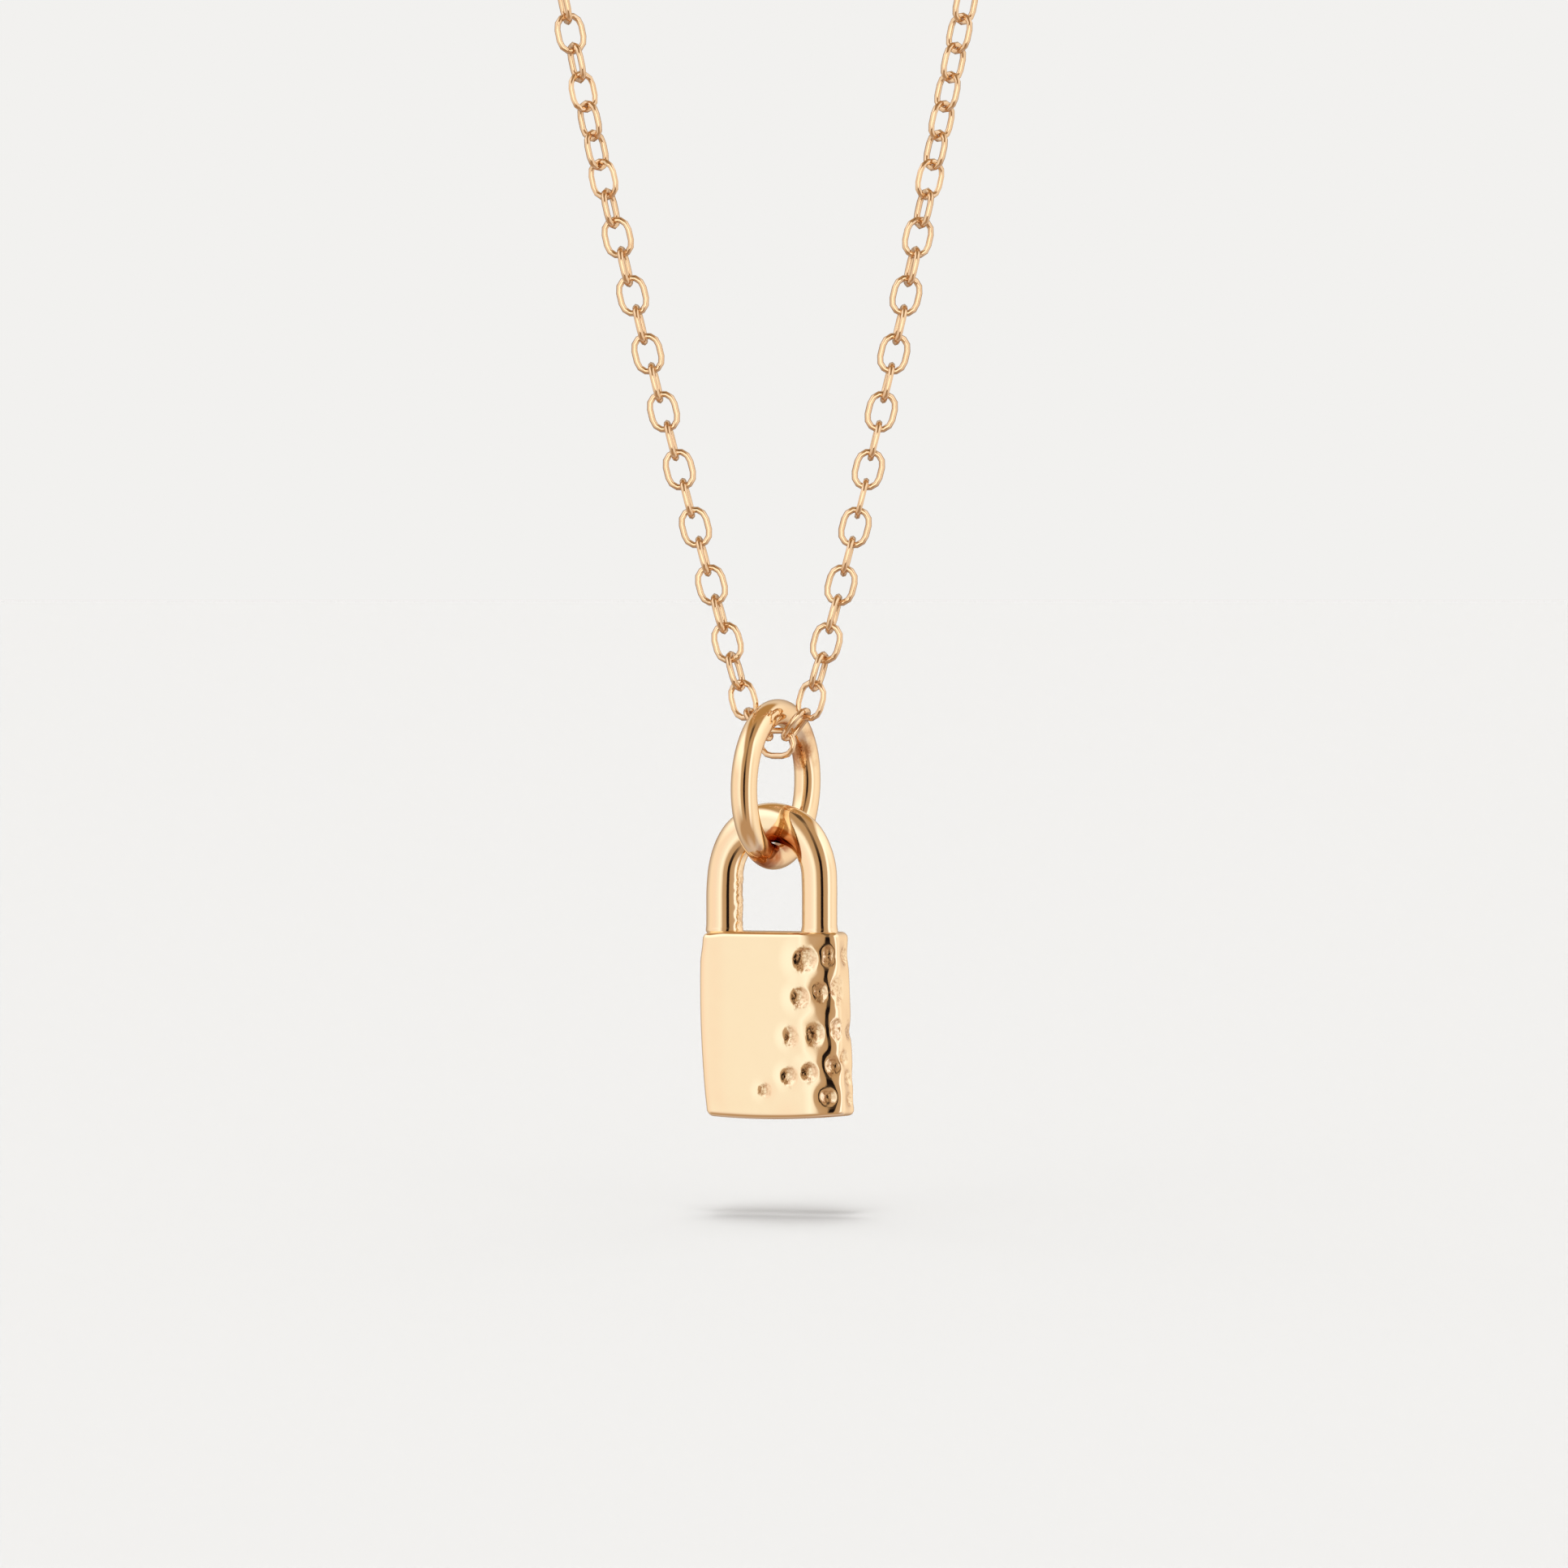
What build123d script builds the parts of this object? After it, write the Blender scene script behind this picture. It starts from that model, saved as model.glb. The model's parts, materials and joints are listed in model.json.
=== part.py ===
from build123d import *
from collections import namedtuple
from math import cos, pi, radians, sin, sqrt
import os

os.makedirs("parts", exist_ok=True)

# Millimetres. +Z is up, +X is to the right and -Y is towards the viewer.
# The origin is where the necklace hangs: under the middle of the clasp, at the top of its loop.

# Padlock body, a flat casting
BODY_WIDTH = 8.44
BODY_DEPTH = 2.35
BODY_HEIGHT = 10.52
BODY_OFFSET = 0.11        # its middle lies this far to the right of the shackle's middle
LEFT_TUCK = 0.38          # the left side comes in by this at the bottom
LEFT_BELLY = 0.22         # and bellies out by this halfway
RIGHT_FLARE = 0.43        # the right side leans out by this at the bottom
BOTTOM_RISE = 0.04        # the bottom edge is higher by this at the right
BOTTOM_BELLY = 0.21
HAMMERED_WIDE = 2.20      # the upright edge at the front right is hammered off this far along the front
HAMMERED_DEEP = 1.00      # and this far round the right side
EDGE_ROUND = 0.36         # all other edges

# Padlock shackle, a round bar bent to a U and cast in one with the body
SHACKLE_WIRE = 2.08
SHACKLE_SPREAD = 6.08     # between the middles of its legs
SHACKLE_HEIGHT = 7.29     # from the body's top to the top of the arch
SHACKLE_ROOT = 0.80       # length of each leg inside the body

# Hammer marks
MARK_SIZE = 1.20          # width of a usual mark
MARK_DEPTH = 0.16         # depth of a usual mark

# Jump ring that carries the padlock
RING_RADIUS = 4.12        # to the middle of its wire
RING_WIRE = 1.50
RING_LEAN = 1.5           # degrees, its top leans to the right
RING_AT_SHACKLE = 0.11    # it holds the shackle this far to the right of the arch's middle
RING_AT_CHAIN = 0.00      # and hangs this far to the right of the lowest link's middle

# The pendant is turned about the vertical, so that its right side shows
PENDANT_TURN = 26.0

# Chain of oval links
LINK_WIRE = 0.30
LINK_WIDTH = 1.80
LINK_PITCH = 1.70         # from one link's middle to the next, pulled straight
LINKS_PER_SIDE = 114      # on each side of the lowest link
FIRST_RISE = 51.0         # degrees, slope of the links beside the lowest one
STRAND_RISE = 74.6        # degrees, slope of both strands where they start
LOOP_SHIFT = 0.70         # the loop's middle lies this far to the left of the lowest link
SHIFT_LENGTH = 40.0       # along the strand, where that shift is taken up
FRONT_LENGTH = 20.0       # along the strand, where a strand comes back into the loop's plane

# Clasp, hidden at the top
CLASP_BARREL = 7.60       # length of its barrel
CLASP_DIAMETER = 2.40
CLASP_NECK = 1.30         # diameter at the barrel's ends
CLASP_EYE = 2.30          # outer diameter of the eye at each end
CLASP_EYE_WIRE = 0.60

# Clearances between pieces
LINK_GAP = 0.14
RING_GAP = 0.12
SHACKLE_GAP = 0.20

# Hammer marks on the front and round the right edge. "along" is a share of the way from the
# front's middle round to the back edge, "down" a share of the body's height from its top, and
# "wide", "tall" and "deep" are shares of the usual mark.
Mark = namedtuple("Mark", "along down wide tall deep")
MARKS = [
    Mark(0.390, 0.147, 1.24, 1.31, 1.15),
    Mark(0.337, 0.354, 0.94, 1.08, 0.90),
    Mark(0.239, 0.563, 0.74, 1.00, 0.80),
    Mark(0.218, 0.781, 0.86, 0.85, 0.80),
    Mark(-0.007, 0.860, 0.77, 0.66, 0.45),
    Mark(0.506, 0.328, 0.72, 1.00, 1.00),
    Mark(0.452, 0.552, 0.88, 1.16, 1.05),
    Mark(0.392, 0.759, 0.91, 1.08, 0.95),
    Mark(0.597, 0.130, 0.60, 1.08, 1.05),
    Mark(0.602, 0.724, 0.74, 0.96, 1.05),
    Mark(0.542, 0.891, 0.77, 0.73, 0.95),
    Mark(0.731, 0.310, 0.82, 1.31, 1.20),
    Mark(0.677, 0.526, 0.64, 1.23, 1.10),
    Mark(0.885, 0.790, 0.80, 0.80, 0.85),
    Mark(0.890, 0.905, 0.70, 0.70, 0.70),
    Mark(0.890, 0.130, 0.80, 1.00, 0.85),
    Mark(0.930, 0.540, 0.80, 1.05, 0.85),
    Mark(0.810, 0.680, 0.75, 0.80, 0.85),
]

# How far the links that face the viewer are turned about each strand, in degrees. "rise" counts
# links from the lowest one, "left" and "right" are the two strands.
Twist = namedtuple("Twist", "rise left right")
TWISTS = [
    Twist(0, -26.0, -26.0),
    Twist(2, -26.0, -26.0),
    Twist(4, -14.0, -12.0),
    Twist(8, -5.0, -2.0),
    Twist(12, -6.0, 4.0),
    Twist(16, -8.0, 9.0),
    Twist(18, -14.0, 18.0),
    Twist(20, -27.0, 31.0),
    Twist(22, -50.0, 44.0),
    Twist(24, -68.0, 47.0),
    Twist(27, -82.0, 45.0),
    Twist(60, -90.0, 60.0),
    Twist(LINKS_PER_SIDE, -90.0, 90.0),
]


def twist_at(side, rise):
    """Twist of a strand at a link, on straight lines between the table's rows."""
    low = TWISTS[0]
    for high in TWISTS:
        if high.rise >= rise:
            break
        low = high
    share = (rise - low.rise) / max(high.rise - low.rise, 1)
    if side > 0:
        return low.right + share * (high.right - low.right)
    return low.left + share * (high.left - low.left)


def ease(share):
    """Smooth step from 0 to 1."""
    share = min(max(share, 0.0), 1.0)
    return share * share * (3.0 - 2.0 * share)


# Directions: "right" runs along the padlock's front from left to right, "out" from its front
turn = radians(PENDANT_TURN)
right = Vector(cos(turn), -sin(turn), 0)
out = Vector(-sin(turn), -cos(turn), 0)
up = Vector(0, 0, 1)

# One link: half its length and the radius of its ends, both to the middle of its wire
link_half = (LINK_PITCH + LINK_WIRE + LINK_GAP) / 2
link_bend = (LINK_WIDTH - LINK_WIRE) / 2
link_straight = link_half - link_bend
link_hold = link_bend - LINK_WIRE - LINK_GAP


def slope(angle):
    """Unit direction that rises by an angle in degrees, in the upright plane of "right"."""
    return right * cos(radians(angle)) + up * sin(radians(angle))


# The lowest links, from the lowest one's middle: each hangs in the end of the one before
first_slope = slope(FIRST_RISE)
second_link = right * link_straight + first_slope * (link_hold + link_half)
third_link = (second_link + first_slope * (link_half + link_hold)
              + slope(STRAND_RISE) * link_straight)

# The clasp's ends: an eye on each end of the barrel, with the last link hooked in it
eye_bend = (CLASP_EYE - CLASP_EYE_WIRE) / 2
eye_middle = CLASP_BARREL / 2 + eye_bend
last_hook = eye_middle + eye_bend - (CLASP_EYE_WIRE + LINK_WIRE) / 2 - RING_GAP
last_link = last_hook + link_half
clasp_reach = last_link - LINK_PITCH / 2

# The strands: a long gentle arc up to the upright, then a quarter circle over to the clasp.
# The long arc's length follows from the number of links.
strand_turn = pi / 2 - radians(STRAND_RISE)
spread = (1 - sin(radians(STRAND_RISE))) / strand_turn
links_length = (LINKS_PER_SIDE - 1.5) * LINK_PITCH
strand_length = (links_length - pi / 2 * (third_link.X - clasp_reach)) / (1 + pi / 2 * spread)
strand_radius = strand_length / strand_turn
top_radius = third_link.X + spread * strand_length - clasp_reach
loop_drop = third_link.Z + strand_radius * cos(radians(STRAND_RISE)) + top_radius
clasp_z = CLASP_DIAMETER / 2
lowest_link = Vector(LOOP_SHIFT, 0, clasp_z - loop_drop)


def strand_point(length):
    """Place on the right strand at a length above its third link: x, height and slope."""
    start = radians(STRAND_RISE)
    if length < strand_length:
        angle = start + length / strand_radius
        x = third_link.X + strand_radius * (sin(angle) - sin(start))
        z = third_link.Z + strand_radius * (cos(start) - cos(angle))
    else:
        angle = pi / 2 + (length - strand_length) / top_radius
        x = clasp_reach + top_radius * sin(angle)
        z = loop_drop - top_radius * (1 + cos(angle))
    return x, z, angle


def link_plane(side, rise):
    """Plane of a link: x along the link, z across it. Side is 1 on the right, -1 on the left."""
    if rise == 0:
        return Plane(origin=lowest_link, x_dir=right, z_dir=out)
    if rise == 1:
        middle = Vector(side * second_link.X, side * second_link.Y, second_link.Z)
        along = Vector(side * first_slope.X, side * first_slope.Y, first_slope.Z)
        return Plane(origin=lowest_link + middle, x_dir=along, z_dir=along.cross(out))
    length = (rise - 2) * LINK_PITCH
    x, z, angle = strand_point(length)
    inward = 1 - ease(length / FRONT_LENGTH)
    x = side * x - LOOP_SHIFT * ease(length / SHIFT_LENGTH)
    y = side * third_link.Y * inward
    along = Vector(side * cos(angle), side * slope(STRAND_RISE).Y * inward, sin(angle)).normalized()
    facing = Vector(0, -1, 0).rotate(Axis((0, 0, 0), along), twist_at(side, rise))
    across = facing if rise % 2 == 0 else facing.cross(along)
    return Plane(origin=lowest_link + Vector(x, y, z), x_dir=along, z_dir=across)


# One link of the chain, an oval of round wire
with BuildPart() as link:
    with BuildLine(Plane.XY) as oval:
        Line((-link_straight, -link_bend), (link_straight, -link_bend))
        ThreePointArc((link_straight, -link_bend), (link_half, 0), (link_straight, link_bend))
        Line((link_straight, link_bend), (-link_straight, link_bend))
        ThreePointArc((-link_straight, link_bend), (-link_half, 0), (-link_straight, -link_bend))
    with BuildSketch(Plane(origin=(0, -link_bend, 0), z_dir=(1, 0, 0))):
        Circle(LINK_WIRE / 2)
    sweep(path=oval.line)

# The chain, all its links interlocked
link_planes = [link_plane(1, 0)]
for rise in range(1, LINKS_PER_SIDE + 1):
    link_planes += [link_plane(-1, rise), link_plane(1, rise)]
with BuildPart() as chain:
    with Locations(*[plane.location for plane in link_planes]):
        add(link.part, clean=False)
chain.part.label = "chain"
export_step(chain.part, "parts/chain.step")

# The clasp, one plain piece: a barrel with narrow ends and two eyes
barrel_half = CLASP_BARREL / 2
barrel_waist = barrel_half - (CLASP_DIAMETER - CLASP_NECK)
with BuildPart() as clasp:
    with BuildSketch(Plane.XZ):
        with BuildLine():
            Polyline((-barrel_half, clasp_z), (-barrel_half, clasp_z + CLASP_NECK / 2),
                     (-barrel_waist, clasp_z + CLASP_DIAMETER / 2),
                     (barrel_waist, clasp_z + CLASP_DIAMETER / 2),
                     (barrel_half, clasp_z + CLASP_NECK / 2), (barrel_half, clasp_z),
                     close=True)
        make_face()
    revolve(axis=Axis((0, 0, clasp_z), (1, 0, 0)))
    for side in (-1, 1):
        with BuildSketch(Plane(origin=(side * (eye_middle + eye_bend), 0, clasp_z),
                               z_dir=(0, 0, 1))):
            Circle(CLASP_EYE_WIRE / 2)
        revolve(axis=Axis((side * eye_middle, 0, clasp_z), (0, 1, 0)))
clasp.part.label = "clasp"
export_step(clasp.part, "parts/clasp.step")

# The jump ring hangs with its inside on the lowest link's upper wire
ring_up = slope(90 - RING_LEAN)
ring_across = slope(-RING_LEAN)
chain_pivot = lowest_link + right * RING_AT_CHAIN + up * link_bend
ring_top = chain_pivot + up * (LINK_WIRE / 2 + RING_GAP)
ring_middle = ring_top - ring_up * (RING_RADIUS - RING_WIRE / 2)
ring_bottom = ring_middle - ring_up * RING_RADIUS
with BuildPart() as jump_ring:
    with BuildSketch(Plane(origin=ring_bottom, x_dir=ring_across, z_dir=out)):
        Circle(RING_WIRE / 2)
    revolve(axis=Axis(ring_middle, ring_across))
jump_ring.part.label = "jump_ring"
export_step(jump_ring.part, "parts/jump_ring.step")

# The padlock hangs with its shackle on the ring's lowest wire
arch_radius = SHACKLE_SPREAD / 2
leg_length = SHACKLE_HEIGHT - SHACKLE_WIRE / 2 - arch_radius
arch_under = ring_bottom - right * RING_AT_SHACKLE + up * (RING_WIRE / 2 + SHACKLE_GAP)
body_top = arch_under + up * (SHACKLE_WIRE - SHACKLE_HEIGHT)
front = Plane(origin=body_top, x_dir=right, z_dir=out)

half_width = BODY_WIDTH / 2
left_top = (BODY_OFFSET - half_width, 0)
left_low = (BODY_OFFSET - half_width + LEFT_TUCK, -BODY_HEIGHT)
right_low = (BODY_OFFSET + half_width + RIGHT_FLARE, -BODY_HEIGHT + BOTTOM_RISE)
left_halfway = (left_top[0] + LEFT_TUCK / 2 - LEFT_BELLY, -BODY_HEIGHT / 2)
bottom_halfway = ((left_low[0] + right_low[0]) / 2, (left_low[1] + right_low[1]) / 2 - BOTTOM_BELLY)

# The skin that the hammer marks lie on, from the front's middle round to the back edge. The
# hammered edge is a quarter of an ellipse.
front_flat = half_width - HAMMERED_WIDE
corner_root = sqrt((3 * HAMMERED_WIDE + HAMMERED_DEEP) * (HAMMERED_WIDE + 3 * HAMMERED_DEEP))
corner_wrap = pi / 4 * (3 * (HAMMERED_WIDE + HAMMERED_DEEP) - corner_root)
side_flat = BODY_DEPTH - HAMMERED_DEEP
wrap = front_flat + corner_wrap + side_flat


def skin_point(along, down):
    """Point and outward direction on the skin, by the shares that the hammer marks use."""
    run = along * wrap
    middle = BODY_OFFSET + RIGHT_FLARE * down * min(run / front_flat, 1.0)
    height = -BODY_HEIGHT * down
    if run < front_flat:
        return front.from_local_coords((middle + run, height, BODY_DEPTH / 2)), out
    if run < front_flat + corner_wrap:
        angle = (run - front_flat) / corner_wrap * pi / 2
        x = middle + front_flat + HAMMERED_WIDE * sin(angle)
        z = BODY_DEPTH / 2 - HAMMERED_DEEP + HAMMERED_DEEP * cos(angle)
        outward = right * HAMMERED_DEEP * sin(angle) + out * HAMMERED_WIDE * cos(angle)
        return front.from_local_coords((x, height, z)), outward.normalized()
    z = BODY_DEPTH / 2 - HAMMERED_DEEP - (run - front_flat - corner_wrap)
    return front.from_local_coords((middle + half_width, height, z)), right


def is_upright(edge):
    """Whether an edge runs down the body."""
    return abs((edge @ 1 - edge @ 0).Z) > BODY_HEIGHT / 2


# From above the body is a bar with the hammered edge at the front right. It leans along its right
# side and is cut to the outline that the front shows.
lean = right * RIGHT_FLARE - up * BODY_HEIGHT
corner_right = BODY_OFFSET + half_width
front_y = -BODY_DEPTH / 2
past_left = left_top[0] - 1
past_right = right_low[0] + 1
corner_axis = Axis(front.origin, right + out * 3)
with BuildPart() as padlock:
    with BuildSketch(Plane(origin=body_top - lean * 0.1, x_dir=right, z_dir=up)):
        with BuildLine():
            Line((past_left, front_y), (corner_right - HAMMERED_WIDE, front_y))
            EllipticalCenterArc((corner_right - HAMMERED_WIDE, front_y + HAMMERED_DEEP),
                                HAMMERED_WIDE, HAMMERED_DEEP, start_angle=270, arc_size=90)
            Polyline((corner_right, front_y + HAMMERED_DEEP), (corner_right, -front_y),
                     (past_left, -front_y), (past_left, front_y))
        make_face()
    extrude(amount=1.2 * lean.length, dir=lean.normalized())
    with BuildSketch(front.offset(-BODY_DEPTH)):
        with BuildLine():
            Polyline(left_top, (past_right, 0), (past_right, right_low[1]), right_low)
            ThreePointArc(right_low, bottom_halfway, left_low)
            ThreePointArc(left_low, left_halfway, left_top)
        make_face()
    extrude(amount=2 * BODY_DEPTH, mode=Mode.INTERSECT)
    upright = padlock.edges().filter_by(is_upright).sort_by(corner_axis)
    level = padlock.edges().filter_by(is_upright, reverse=True)
    fillet(level + upright[:-2], EDGE_ROUND)
    with BuildLine(front) as bar:
        Polyline((-arch_radius, -SHACKLE_ROOT), (-arch_radius, leg_length))
        ThreePointArc((-arch_radius, leg_length), (0, leg_length + arch_radius),
                      (arch_radius, leg_length))
        Polyline((arch_radius, leg_length), (arch_radius, -SHACKLE_ROOT))
    with BuildSketch(Plane(origin=bar.line @ 0, z_dir=up)):
        Circle(SHACKLE_WIRE / 2)
    sweep(path=bar.line)
    for mark in MARKS:
        point, outward = skin_point(mark.along, mark.down)
        depth = MARK_DEPTH * mark.deep
        reach = MARK_SIZE * sqrt(mark.wide * mark.tall) / 2
        ball = (reach ** 2 + depth ** 2) / (2 * depth)
        with Locations(point + outward * (ball - depth)):
            Sphere(ball, mode=Mode.SUBTRACT)
padlock.part.label = "padlock"
export_step(padlock.part, "parts/padlock.step")

print("loop length", round(2 * ((LINKS_PER_SIDE + 0.5) * LINK_PITCH + clasp_reach), 1))
print("ring swings on", chain_pivot, "about", right)
print("padlock sways on", ring_bottom, "about", out)
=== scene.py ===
import json
from math import atan2, cos, hypot, pi, radians, sin, sqrt
import bmesh
import bpy
from mathutils import Matrix, Vector, noise


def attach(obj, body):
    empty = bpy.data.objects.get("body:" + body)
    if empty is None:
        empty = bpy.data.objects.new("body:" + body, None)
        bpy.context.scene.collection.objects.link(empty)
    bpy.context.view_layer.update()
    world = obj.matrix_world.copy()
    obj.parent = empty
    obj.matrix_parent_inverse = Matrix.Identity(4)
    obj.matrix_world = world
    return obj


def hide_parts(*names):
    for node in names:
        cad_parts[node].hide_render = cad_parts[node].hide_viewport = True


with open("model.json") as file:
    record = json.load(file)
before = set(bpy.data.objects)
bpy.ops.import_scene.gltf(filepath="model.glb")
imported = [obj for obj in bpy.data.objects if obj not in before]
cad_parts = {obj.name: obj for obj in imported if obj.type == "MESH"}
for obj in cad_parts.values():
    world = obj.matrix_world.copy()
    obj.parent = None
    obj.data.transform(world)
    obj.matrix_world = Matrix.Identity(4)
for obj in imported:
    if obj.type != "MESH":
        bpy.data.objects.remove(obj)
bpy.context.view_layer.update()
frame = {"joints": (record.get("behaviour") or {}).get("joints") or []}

# Sizes are in metres, written as millimetres times MM. +Z is up, +X to the right, -Y to the viewer.
MM = 0.001
# How near counts as close by, as touching and as one seam
NEAR = 0.05 * MM
TOUCH = 0.01 * MM
SEAM = 0.001 * MM

# Padlock body and shackle
BODY_WIDTH = 8.44 * MM
BODY_DEPTH = 2.35 * MM
BODY_HEIGHT = 10.52 * MM
BODY_OFFSET = 0.11 * MM
LEFT_TUCK = 0.38 * MM
LEFT_BELLY = 0.22 * MM
RIGHT_FLARE = 0.43 * MM
BOTTOM_RISE = 0.04 * MM
BOTTOM_BELLY = 0.21 * MM
HAMMERED_WIDE = 2.20 * MM
HAMMERED_DEEP = 1.00 * MM
EDGE_ROUND = 0.36 * MM
SHACKLE_WIRE = 2.08 * MM
SHACKLE_SPREAD = 6.08 * MM
SHACKLE_HEIGHT = 7.29 * MM
SHACKLE_ROOT = 0.45 * MM
SHACKLE_GAP = 0.20 * MM
RING_AT_SHACKLE = 0.11 * MM
PENDANT_TURN = radians(26.0)

# Hammer marks
MARK_SIZE = 1.20 * MM
MARK_DEPTH = 0.16 * MM

# Jump ring
RING_RADIUS = 4.12 * MM
RING_WIRE = 1.50 * MM
RING_LEAN = radians(1.5)

# Chain of oval links
LINK_WIRE = 0.30 * MM
LINK_WIDTH = 1.80 * MM
LINK_PITCH = 1.70 * MM
LINKS_PER_SIDE = 114
FIRST_RISE = radians(51.0)
STRAND_RISE = radians(74.6)
LOOP_SHIFT = 0.70 * MM
SHIFT_LENGTH = 40.0 * MM
FRONT_LENGTH = 20.0 * MM
LINK_GAP = 0.14 * MM
RING_GAP = 0.12 * MM

# Clasp
CLASP_BARREL = 7.60 * MM
CLASP_DIAMETER = 2.40 * MM
CLASP_NECK = 1.30 * MM
CLASP_EYE = 2.30 * MM
CLASP_EYE_WIRE = 0.60 * MM

# Where the joints turn gives the chain's lowest link and the way that the padlock faces
swing, sway = frame["joints"]
right = Vector(swing["axis"])
out = Vector(sway["axis"])
up = Vector((0.0, 0.0, 1.0))
chain_pivot = Vector(swing["pos_m"])
ring_bottom = Vector(sway["pos_m"])


def held(value, low=0.0, high=1.0):
    """A value held between two limits."""
    return min(max(value, low), high)


def select_nothing():
    """Nothing selected, so that the next operator acts on the new piece alone."""
    if bpy.context.object and bpy.context.object.mode == "EDIT":
        bpy.ops.object.mode_set(mode="OBJECT")
    bpy.ops.object.select_all(action="DESELECT")


def select_only(piece):
    select_nothing()
    piece.select_set(True)
    bpy.context.view_layer.objects.active = piece


def open_mesh(piece):
    """Edit mode on one piece."""
    select_only(piece)
    bpy.ops.object.mode_set(mode="EDIT")


def close_mesh():
    bpy.ops.object.mode_set(mode="OBJECT")


def pick(kind, test):
    """Select the vertices, edges or faces of the open mesh that pass a test."""
    bpy.ops.mesh.select_mode(type=kind)
    bpy.ops.mesh.select_all(action="DESELECT")
    mesh = bmesh.from_edit_mesh(bpy.context.object.data)
    items = {"VERT": mesh.verts, "EDGE": mesh.edges, "FACE": mesh.faces}[kind]
    for item in items:
        if test(item):
            item.select_set(True)
    mesh.select_flush_mode()
    bmesh.update_edit_mesh(bpy.context.object.data)


def span(edge):
    """An edge's reach along x, y and z."""
    step = edge.verts[1].co - edge.verts[0].co
    return abs(step.x), abs(step.y), abs(step.z)


def soft_move(step, reach, falloff, connected=True):
    """Move what is picked, and what lies round it less and less out to a reach."""
    bpy.ops.transform.translate(value=step, use_proportional_edit=True, proportional_size=reach,
                                proportional_edit_falloff=falloff, use_proportional_connected=connected)


def soft_resize(value, middle, reach, falloff):
    """Resize what is picked about a middle, and what lies round it less and less out to a reach."""
    bpy.ops.transform.resize(value=value, center_override=middle, use_proportional_edit=True,
                             proportional_size=reach, proportional_edit_falloff=falloff,
                             use_proportional_connected=True)


def push_at(piece, place, step, reach, falloff):
    """Push the open mesh at the vertex nearest to a place, fading out over a reach."""
    mesh = bmesh.from_edit_mesh(piece.data)
    nearest = min(mesh.verts, key=lambda v: (v.co - place).length_squared)
    bpy.ops.mesh.select_mode(type="VERT")
    bpy.ops.mesh.select_all(action="DESELECT")
    nearest.select_set(True)
    bmesh.update_edit_mesh(piece.data)
    soft_move(step, reach, falloff, connected=False)


def wire_section(sides, radius, place, turn=(0, 0, 0), fill="NOTHING"):
    """A round section of wire, to be drawn out or spun."""
    select_nothing()
    bpy.ops.mesh.primitive_circle_add(vertices=sides, radius=radius, fill_type=fill,
                                      location=place, rotation=turn)
    bpy.ops.object.transform_apply(location=True, rotation=True, scale=True)
    return bpy.context.object


def draw_out(step):
    """Extrude what is picked in the open mesh."""
    bpy.ops.mesh.extrude_region_move(TRANSFORM_OT_translate={"value": step})


def close_seams():
    """Weld the open mesh where it meets itself, and turn its normals outward."""
    bpy.ops.mesh.select_all(action="SELECT")
    bpy.ops.mesh.remove_doubles(threshold=SEAM)
    bpy.ops.mesh.normals_make_consistent(inside=False)


def set_place(piece, matrix):
    """Put a piece's place into its mesh, with the object itself at the origin."""
    select_only(piece)
    piece.matrix_world = matrix
    bpy.context.view_layer.update()
    bpy.ops.object.transform_apply(location=True, rotation=True, scale=True)


def finish_modifier(piece, kind, **settings):
    """Add a modifier, set it and apply it."""
    select_only(piece)
    bpy.ops.object.modifier_add(type=kind)
    modifier = piece.modifiers[-1]
    for name, value in settings.items():
        setattr(modifier, name, value)
    bpy.ops.object.modifier_apply(modifier=modifier.name)


def smooth(piece, angle):
    """Smooth shading, with edges sharper than an angle in degrees kept crisp."""
    select_only(piece)
    bpy.ops.object.shade_smooth_by_angle(angle=radians(angle))


def roughen(piece, name, weight_of, size, strength):
    """Raise a grain of a size, where a vertex's weight is above zero."""
    group = piece.vertex_groups.new(name=name)
    for v in piece.data.vertices:
        weight = weight_of(v)
        if weight > 0:
            group.add([v.index], weight, "REPLACE")
    grain = bpy.data.textures.new(name, "CLOUDS")
    grain.noise_scale = size
    grain.noise_depth = 2
    grain.noise_basis = "ORIGINAL_PERLIN"
    finish_modifier(piece, "DISPLACE", texture=grain, texture_coords="LOCAL",
                    strength=strength, mid_level=0.5, vertex_group=name, direction="NORMAL")


def set_attribute(piece, name, value_of):
    """A value from 0 to 1 on each vertex, which the gold reads."""
    values = piece.data.attributes.new(name, "FLOAT", "POINT")
    for v in piece.data.vertices:
        values.data[v.index].value = value_of(v)


def waver(co, amount, cells):
    """A share that wanders about 1, for an uneven edge, with a number of cells to the millimetre."""
    return 1.0 + amount * noise.noise(co * cells / MM)


# Padlock body

CORNER_STEPS = 44
EDGE_STEPS = 6
# Cuts for the hammering: rows down the body, and columns that are finer to the right of a place
ROW_STEP = 0.058 * MM
FINE_FROM = -0.90 * MM
LEFT_CUTS = 14
RIGHT_CUTS = 50
DEPTH_CUTS = 17
UNCUT_WIDE = 1.5 * MM
UNCUT_DEEP = 0.6 * MM
BOTTOM_REACH = BODY_WIDTH * 0.52
# The front falls a little along its left and bottom edges
FALL_STEPS = 9
FALL_INSET = 0.1 * MM
LEFT_FALL = 0.04 * MM
LEFT_FALL_REACH = 1.5 * MM
BOTTOM_FALL = LEFT_FALL * 0.9
BOTTOM_FALL_LENGTH = 5.4 * MM
BOTTOM_FALL_REACH = 1.4 * MM
# The hammered edge is beaten down at the top: how far past the flat front and below the top
TOP_FALL = 0.07 * MM
TOP_FALL_PAST = 1.3 * MM
TOP_FALL_BELOW = 0.5 * MM
TOP_FALL_REACH = 1.25 * MM
# A rounder corner at the top left
CORNER_PICK = 0.42 * MM
CORNER_DRAW = 0.11 * MM
CORNER_REACH = 1.5 * MM

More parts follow.
